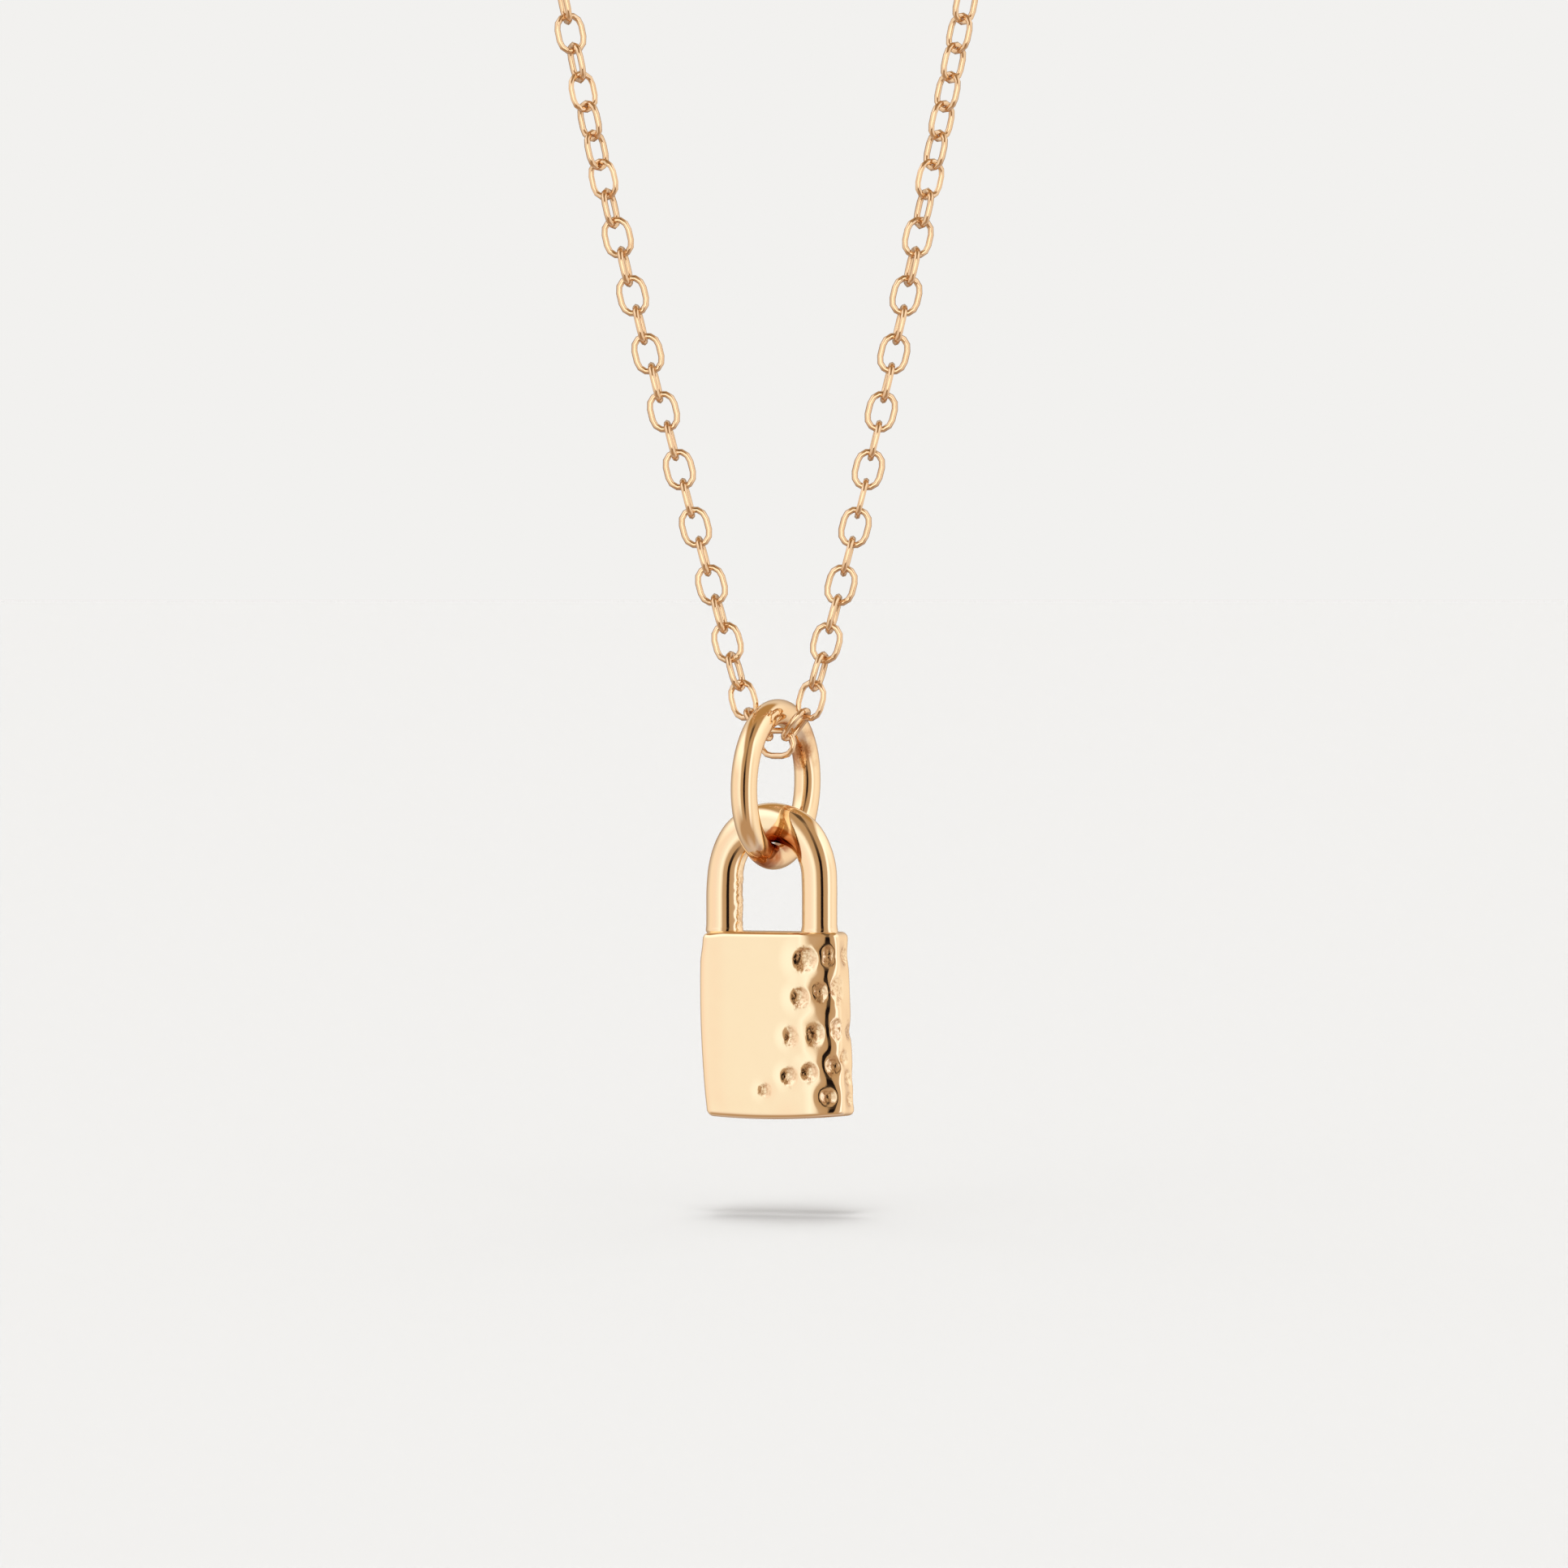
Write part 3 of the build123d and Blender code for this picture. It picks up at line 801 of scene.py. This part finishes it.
def make_clasp():
    """One plain piece: a barrel with narrow ends and an eye of wire at each end."""
    height = CLASP_DIAMETER / 2
    taper = CLASP_DIAMETER - CLASP_NECK
    shrink = CLASP_NECK / CLASP_DIAMETER
    select_nothing()
    bpy.ops.mesh.primitive_cylinder_add(vertices=BARREL_SIDES, radius=CLASP_DIAMETER / 2,
                                        depth=CLASP_BARREL - 2 * taper, end_fill_type="NGON",
                                        location=(0, 0, height), rotation=(0, pi / 2, 0))
    clasp = bpy.context.object
    clasp.name = "clasp"
    bpy.ops.object.transform_apply(location=True, rotation=True, scale=True)
    open_mesh(clasp)
    for side in (-1, 1):
        pick("FACE", lambda f: f.normal.x * side > 0.9)
        draw_out((side * taper, 0, 0))
        bpy.ops.transform.resize(value=(1, shrink, shrink),
                                 center_override=(side * CLASP_BARREL / 2, 0, height))
    pick("EDGE", lambda e: span(e)[0] < SEAM)
    bpy.ops.mesh.bevel(offset=BARREL_ROUND, segments=4, affect="EDGES")
    close_mesh()
    for side in (-1, 1):
        eye = wire_section(EYE_SIDES, CLASP_EYE_WIRE / 2, (side * eye_middle + eye_bend, 0, height))
        open_mesh(eye)
        bpy.ops.mesh.select_all(action="SELECT")
        bpy.ops.mesh.spin(steps=EYE_STEPS, angle=2 * pi, center=(side * eye_middle, 0, height),
                          axis=(0, 1, 0))
        close_seams()
        close_mesh()
        finish_modifier(clasp, "BOOLEAN", operation="UNION", solver="EXACT", object=eye)
        bpy.data.objects.remove(eye)
    smooth(clasp, 35)
    return clasp


# Materials. Colours are linear, and "deep" is the colour in the patches

PADLOCK_GOLD = dict(colour=(0.985, 0.790, 0.530), deep=(0.975, 0.775, 0.515), roughness=0.045,
                    wave=0.10, scratch=0.05)
RING_GOLD = dict(colour=(0.975, 0.77, 0.50), deep=(0.96, 0.74, 0.47), roughness=0.045,
                 wave=0.10, scratch=0.06)
CHAIN_GOLD = dict(colour=(0.87, 0.67, 0.44), deep=(0.78, 0.53, 0.32), roughness=0.10,
                  wave=0.12, scratch=0.08)
CLASP_GOLD = dict(colour=(0.97, 0.75, 0.48), deep=(0.95, 0.72, 0.44), roughness=0.10,
                  wave=0.10, scratch=0.08)
# Darker gold for painted shade in the low places of rough grain
HOLLOW_SHADE_GOLD = (0.46, 0.22, 0.085)
# Darker gold for painted shade where the ring and shackle meet, and for the ring's solder
SHADE_AND_PATINA_GOLD = (0.50, 0.17, 0.045)
ROUGH_CAST = (0.10, 0.10, 0.10)
# Patterns in the gold, in cells to the metre
COARSE_GRAIN = 6300.0
COLOUR_PATCHES = 900.0
SHADE_AND_PATINA_PATCHES = 2200.0
HAZE_PATCHES = 2600.0
BUFFING_WAVES = 450.0
FINE_SCRATCHES = 16000.0
# and how deep they go
WAVE_DEPTH = 0.1 * MM
SCRATCH_DEPTH = 0.01 * MM
GRAIN_DEPTH = 0.08 * MM


def node(tree, kind, **inputs):
    """A new node with constants on some of its inputs, whose names have _ for a space here."""
    made = tree.nodes.new(kind)
    for name, value in inputs.items():
        made.inputs[name.replace("_", " ")].default_value = value
    return made


def feed(tree, socket, value):
    """Give an input a number, a colour or another node's output."""
    if isinstance(value, (int, float)):
        socket.default_value = value
    elif isinstance(value, tuple):
        socket.default_value = (*value, 1)
    else:
        tree.links.new(value, socket)


def calculate(tree, operation, *values):
    made = tree.nodes.new("ShaderNodeMath")
    made.operation = operation
    for socket, value in zip(made.inputs, values):
        feed(tree, socket, value)
    return made.outputs[0]


def mix(tree, factor, first, second):
    """Two colours mixed by a factor."""
    made = tree.nodes.new("ShaderNodeMix")
    made.data_type = "RGBA"
    for name, value in (("Factor", factor), ("A", first), ("B", second)):
        feed(tree, made.inputs[name], value)
    return made.outputs["Result"]


def polished_gold(name, colour, deep, roughness, wave, scratch):
    """Gold plate: a polished skin with faint waves from the buffing, fine scratches and deeper colour in
    patches, with painted shade as darker gold where the ring and shackle meet, and darker gold where the
    ring was soldered. Where the metal was left rough, its grain is coarse and dull, with painted shade in
    the low places of the grain."""
    material = bpy.data.materials.new(name)
    material.use_nodes = True
    tree = material.node_tree
    shader = tree.nodes["Principled BSDF"]
    shader.inputs["Metallic"].default_value = 1.0
    place = tree.nodes.new("ShaderNodeTexCoord").outputs["Object"]

    def painted(attribute):
        made = tree.nodes.new("ShaderNodeAttribute")
        made.attribute_name = attribute
        return made.outputs["Fac"]

    def pattern(scale, detail):
        made = node(tree, "ShaderNodeTexNoise", Scale=scale, Detail=detail)
        tree.links.new(place, made.inputs["Vector"])
        return made.outputs["Fac"]

    def ranged(value, low, high, to_low, to_high):
        made = node(tree, "ShaderNodeMapRange", From_Min=low, From_Max=high, To_Min=to_low, To_Max=to_high)
        tree.links.new(value, made.inputs["Value"])
        return made.outputs["Result"]

    def bump(height, strength, distance, before=None):
        made = node(tree, "ShaderNodeBump", Distance=distance)
        feed(tree, made.inputs["Strength"], strength)
        tree.links.new(height, made.inputs["Height"])
        if before is not None:
            tree.links.new(before, made.inputs["Normal"])
        return made.outputs["Normal"]

    rough = painted("rough_cast_and_shade")
    coarse = pattern(COARSE_GRAIN, 2.0)
    patches = ranged(pattern(SHADE_AND_PATINA_PATCHES, 2.0), 0.35, 0.6, 0.8, 1.0)
    skin = mix(tree, pattern(COLOUR_PATCHES, 3.0), colour, deep)
    # Painted shade where the ring and shackle meet, and the solder's darker gold, broken up by patches
    skin = mix(tree, calculate(tree, "MULTIPLY", painted("contact_shade_and_patina"), patches), skin, SHADE_AND_PATINA_GOLD)
    # Painted shade in the low places of the rough grain
    shaded_hollows = calculate(tree, "MULTIPLY", rough, ranged(coarse, 0.58, 0.38, 0.10, 0.90))
    tree.links.new(mix(tree, shaded_hollows, skin, HOLLOW_SHADE_GOLD), shader.inputs["Base Color"])
    haze = ranged(pattern(HAZE_PATCHES, 4.0), 0.0, 1.0, roughness * 0.6, roughness * 1.5)
    tree.links.new(mix(tree, rough, haze, ROUGH_CAST), shader.inputs["Roughness"])
    slow = bump(pattern(BUFFING_WAVES, 1.0), wave, WAVE_DEPTH)
    fine = bump(pattern(FINE_SCRATCHES, 2.0), scratch, SCRATCH_DEPTH, slow)
    grainy = bump(coarse, ranged(rough, 0.0, 1.0, 0.0, 0.38), GRAIN_DEPTH, fine)
    tree.links.new(grainy, shader.inputs["Normal"])
    return material


# Light: a white tent, bright walls left and right, with a dim gap in front for the camera and overhead.
# What the camera sees past the object is plain paper

PAPER = (0.888, 0.880, 0.863)
TENT_BRIGHTEST = 1.6
BROWN = (0.52, 0.355, 0.215)
DUSK = (0.20, 0.13, 0.08)
OCHRE = (0.46, 0.27, 0.11)
LOW_BROWN = (0.50, 0.34, 0.22)
BLACK = (0.012, 0.008, 0.008)
FLOOR_GREY = (0.60, 0.53, 0.54)
NADIR = (0.68, 0.58, 0.56)
WALL_HIGH = (1.34, 1.34, 1.40)
# Light from each side at eye level: degrees round from the camera, to the right, and its colour
TENT_LEVEL = [
    dict(at=-180, light=(0.42, 0.30, 0.20)),
    dict(at=-142, light=(0.50, 0.40, 0.33)),
    dict(at=-124, light=(0.72, 0.64, 0.58)),
    dict(at=-104, light=(0.98, 0.88, 0.80)),
    dict(at=-68, light=(1.00, 0.89, 0.85)),
    dict(at=-52, light=(1.00, 1.00, 0.98)),
    dict(at=-42, light=(1.10, 1.16, 1.18)),
    dict(at=-34, light=(1.00, 0.95, 0.88)),
    dict(at=-27, light=(0.57, 0.42, 0.30)),
    dict(at=-9, light=BROWN),
    dict(at=-6, light=BLACK),
    dict(at=7, light=BLACK),
    dict(at=10, light=BROWN),
    dict(at=36, light=(0.57, 0.42, 0.30)),
    dict(at=42, light=(1.25, 1.25, 1.35)),
    dict(at=52, light=(1.25, 1.25, 1.35)),
    dict(at=62, light=(0.95, 0.84, 0.74)),
    dict(at=84, light=(1.05, 1.00, 0.94)),
    dict(at=128, light=(0.97, 0.84, 0.72)),
    dict(at=142, light=(0.80, 0.66, 0.55)),
    dict(at=156, light=(0.48, 0.36, 0.27)),
    dict(at=180, light=(0.42, 0.30, 0.20)),
]
# The same, high up
TENT_HIGH = [
    dict(at=-180, light=(0.75, 0.66, 0.58)),
    dict(at=-130, light=(0.95, 0.88, 0.82)),
    dict(at=-100, light=WALL_HIGH),
    dict(at=-45, light=WALL_HIGH),
    dict(at=-30, light=BROWN),
    dict(at=-9, light=BROWN),
    dict(at=-3, light=DUSK),
    dict(at=4, light=DUSK),
    dict(at=10, light=BROWN),
    dict(at=38, light=BROWN),
    dict(at=46, light=WALL_HIGH),
    dict(at=110, light=(1.20, 1.15, 1.10)),
    dict(at=150, light=(0.85, 0.75, 0.66)),
    dict(at=180, light=(0.75, 0.66, 0.58)),
]
# The same, down towards the table
TENT_LOW = [
    dict(at=-180, light=(0.32, 0.17, 0.08)),
    dict(at=-140, light=FLOOR_GREY),
    dict(at=-120, light=(0.60, 0.50, 0.42)),
    dict(at=-100, light=LOW_BROWN),
    dict(at=60, light=LOW_BROWN),
    dict(at=80, light=FLOOR_GREY),
    dict(at=130, light=FLOOR_GREY),
    dict(at=180, light=(0.32, 0.17, 0.08)),
]
# Overhead, by degrees from the upright to the right: a dim gap, with a black beam over the camera
TENT_GAP = [
    dict(at=-40, share=0.0, light=BROWN),
    dict(at=-30, share=1.0, light=BROWN),
    dict(at=-9, share=1.0, light=BROWN),
    dict(at=-6, share=1.0, light=BLACK),
    dict(at=6, share=1.0, light=BLACK),
    dict(at=9, share=1.0, light=BROWN),
    dict(at=30, share=1.0, light=BROWN),
    dict(at=40, share=0.0, light=BROWN),
]
# How much of each light there is: the low and the high by degrees above the horizon, the gap and its
# beam by degrees from the back horizon over the top
LOW_SHARE = [
    dict(at=-48, share=1.0),
    dict(at=-36, share=0.4),
    dict(at=-24, share=0.06),
    dict(at=-12, share=0.0),
]
NADIR_SHARE = [dict(at=-84, share=1.0), dict(at=-66, share=0.0)]
HIGH_SHARE = [dict(at=12, share=0.0), dict(at=32, share=0.85), dict(at=60, share=1.0)]
GAP_SHARE = [
    dict(at=42, share=0.0),
    dict(at=52, share=1.0),
    dict(at=126, share=1.0),
    dict(at=140, share=0.0),
]
DIM_SHARE = [dict(at=80, share=0.0), dict(at=110, share=1.0)]
BEAM_SHARE = [
    dict(at=90, share=0.0),
    dict(at=103, share=0.8),
    dict(at=118, share=0.8),
    dict(at=128, share=0.4),
]

# Soft lamps overhead in two rows from front to back, which the gold doesn't mirror and which throw the
# shadow on the floor: degrees from the upright to the back, and to the left
LAMP_TILTS = [-33, -22, -11, 0, 11, 22, 33]
LAMP_LEANS = [-1.0, 6.0]
LAMP_SPREAD = radians(14.0)
LAMP_LIGHT = 0.88
# A broad soft lamp in front, which lights only the chain
FRONT_TILT = radians(88.0)
FRONT_SPREAD = radians(54.0)
FRONT_LIGHT = 0.92


def dimmed(light):
    """A light as a share of the tent's brightest."""
    return tuple(value / TENT_BRIGHTEST for value in light)


def make_tent():
    """The tent as the world's light, worked out from the direction alone."""
    world = bpy.data.worlds.new("tent")
    bpy.context.scene.world = world
    world.use_nodes = True
    tree = world.node_tree
    tree.nodes.clear()

    def ramp(angle, rows, colour_of):
        """A colour ramp over an angle in radians, with a stop for each row of a table."""
        made = tree.nodes.new("ShaderNodeValToRGB")
        stops = made.color_ramp.elements
        stops.remove(stops[-1])
        for index, row in enumerate(rows):
            position = row["at"] / 360 + 0.5
            stop = stops[0] if index == 0 else stops.new(position)
            stop.position = position
            stop.color = colour_of(row)
        turned = calculate(tree, "DIVIDE", angle, 2 * pi)
        tree.links.new(calculate(tree, "ADD", turned, 0.5), made.inputs[0])
        return made.outputs["Color"]

    def light_by(angle, rows):
        return ramp(angle, rows, lambda row: (*dimmed(row["light"]), 1))

    def share_by(angle, rows):
        return ramp(angle, rows, lambda row: (row["share"],) * 3 + (1,))

    place = tree.nodes.new("ShaderNodeTexCoord")
    split = tree.nodes.new("ShaderNodeSeparateXYZ")
    tree.links.new(place.outputs["Generated"], split.inputs[0])
    x, y, z = split.outputs
    round_way = calculate(tree, "ARCTAN2", x, calculate(tree, "MULTIPLY", y, -1.0))
    rise = calculate(tree, "ARCSINE", z)
    roll = calculate(tree, "ARCTAN2", x, z)
    over = calculate(tree, "ARCTAN2", z, y)
    low = mix(tree, share_by(rise, NADIR_SHARE), light_by(round_way, TENT_LOW), dimmed(NADIR))
    light = mix(tree, share_by(rise, LOW_SHARE), light_by(round_way, TENT_LEVEL), low)
    light = mix(tree, share_by(rise, HIGH_SHARE), light, light_by(round_way, TENT_HIGH))
    dim = mix(tree, share_by(over, DIM_SHARE), dimmed(OCHRE), dimmed(BROWN))
    dim = mix(tree, share_by(over, BEAM_SHARE), dim, light_by(roll, TENT_GAP))
    gap = calculate(tree, "MULTIPLY", share_by(roll, TENT_GAP), share_by(over, GAP_SHARE))
    tent = node(tree, "ShaderNodeBackground", Strength=TENT_BRIGHTEST)
    tree.links.new(mix(tree, gap, light, dim), tent.inputs["Color"])
    paper = node(tree, "ShaderNodeBackground", Color=(*PAPER, 1))
    ray = tree.nodes.new("ShaderNodeLightPath")
    choose = tree.nodes.new("ShaderNodeMixShader")
    tree.links.new(ray.outputs["Is Camera Ray"], choose.inputs[0])
    tree.links.new(tent.outputs[0], choose.inputs[1])
    tree.links.new(paper.outputs[0], choose.inputs[2])
    output = tree.nodes.new("ShaderNodeOutputWorld")
    tree.links.new(choose.outputs[0], output.inputs["Surface"])


def make_lamp(light, spread, tilt, lean):
    """A soft lamp far away, by its turn from the upright to the back and to the left."""
    data = bpy.data.lights.new("lamp", "SUN")
    data.energy = light
    data.angle = spread
    lamp = bpy.data.objects.new("lamp", data)
    lamp.rotation_euler = (tilt, -lean, 0)
    bpy.context.scene.collection.objects.link(lamp)
    return lamp


def make_lamps(chain):
    for tilt in LAMP_TILTS:
        for lean in LAMP_LEANS:
            lamp = make_lamp(LAMP_LIGHT, LAMP_SPREAD, radians(tilt), radians(lean))
            lamp.visible_glossy = False
    front = make_lamp(FRONT_LIGHT, FRONT_SPREAD, FRONT_TILT, 0)
    front.light_linking.receiver_collection = bpy.data.collections.new("lit_from_the_front")
    front.light_linking.receiver_collection.objects.link(chain)


# Floor

FLOOR_DROP = 206.9 * MM
FLOOR_SIZE = 12.0
FLOOR_WHITE = (0.2051, 0.2083, 0.2080)


def make_floor():
    """Plain paper, which the metal doesn't mirror."""
    select_nothing()
    bpy.ops.mesh.primitive_plane_add(size=FLOOR_SIZE, location=(0, 0, -FLOOR_DROP))
    floor = bpy.context.object
    floor.name = "floor"
    bpy.ops.object.transform_apply(location=True, rotation=True, scale=True)
    material = bpy.data.materials.new("paper_floor")
    material.use_nodes = True
    tree = material.node_tree
    shader = tree.nodes["Principled BSDF"]
    shader.inputs["Base Color"].default_value = (*FLOOR_WHITE, 1)
    shader.inputs["Roughness"].default_value = 1.0
    shader.inputs["Specular IOR Level"].default_value = 0.0
    floor.data.materials.append(material)
    floor.visible_glossy = False


# Camera: a long lens, looking down by a degree

VIEW_MIDDLE = Vector((1.09, 0.0, -182.35)) * MM
VIEW_WIDTH = 89.44 * MM
VIEW_DISTANCE = 900.0 * MM
VIEW_RISE = radians(1.0)
VIEW_NEAREST = 10.0 * MM
VIEW_FARTHEST = 20.0
SENSOR = 36.0


def make_camera():
    data = bpy.data.cameras.new("camera")
    camera = bpy.data.objects.new("camera", data)
    bpy.context.scene.collection.objects.link(camera)
    data.sensor_width = SENSOR
    data.lens = SENSOR * VIEW_DISTANCE / VIEW_WIDTH
    data.clip_start = VIEW_NEAREST
    data.clip_end = VIEW_FARTHEST
    back = Vector((0, -cos(VIEW_RISE), sin(VIEW_RISE)))
    camera.location = VIEW_MIDDLE + back * VIEW_DISTANCE
    camera.rotation_euler = (-back).to_track_quat("-Z", "Y").to_euler()
    bpy.context.scene.camera = camera


padlock_gold = polished_gold("padlock_gold", **PADLOCK_GOLD)
ring_gold = polished_gold("ring_gold", **RING_GOLD)
chain_gold = polished_gold("chain_gold", **CHAIN_GOLD)
clasp_gold = polished_gold("clasp_gold", **CLASP_GOLD)

chain = make_chain()
for piece, body, gold, slot in (
        (make_padlock(), "pendant", padlock_gold, "padlock_gold"),
        (make_jump_ring(), "ring", ring_gold, "ring_gold"),
        (chain, "necklace", chain_gold, "chain_gold"),
        (make_clasp(), "necklace", clasp_gold, "clasp_gold")):
    node_name = piece.name.split(".")[0]
    piece.data.materials.clear()
    piece.data.materials.append(gold)
    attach(piece, body)
    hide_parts(node_name)

make_tent()
make_lamps(chain)
make_floor()
make_camera()
bpy.context.scene.view_settings.view_transform = "Standard"
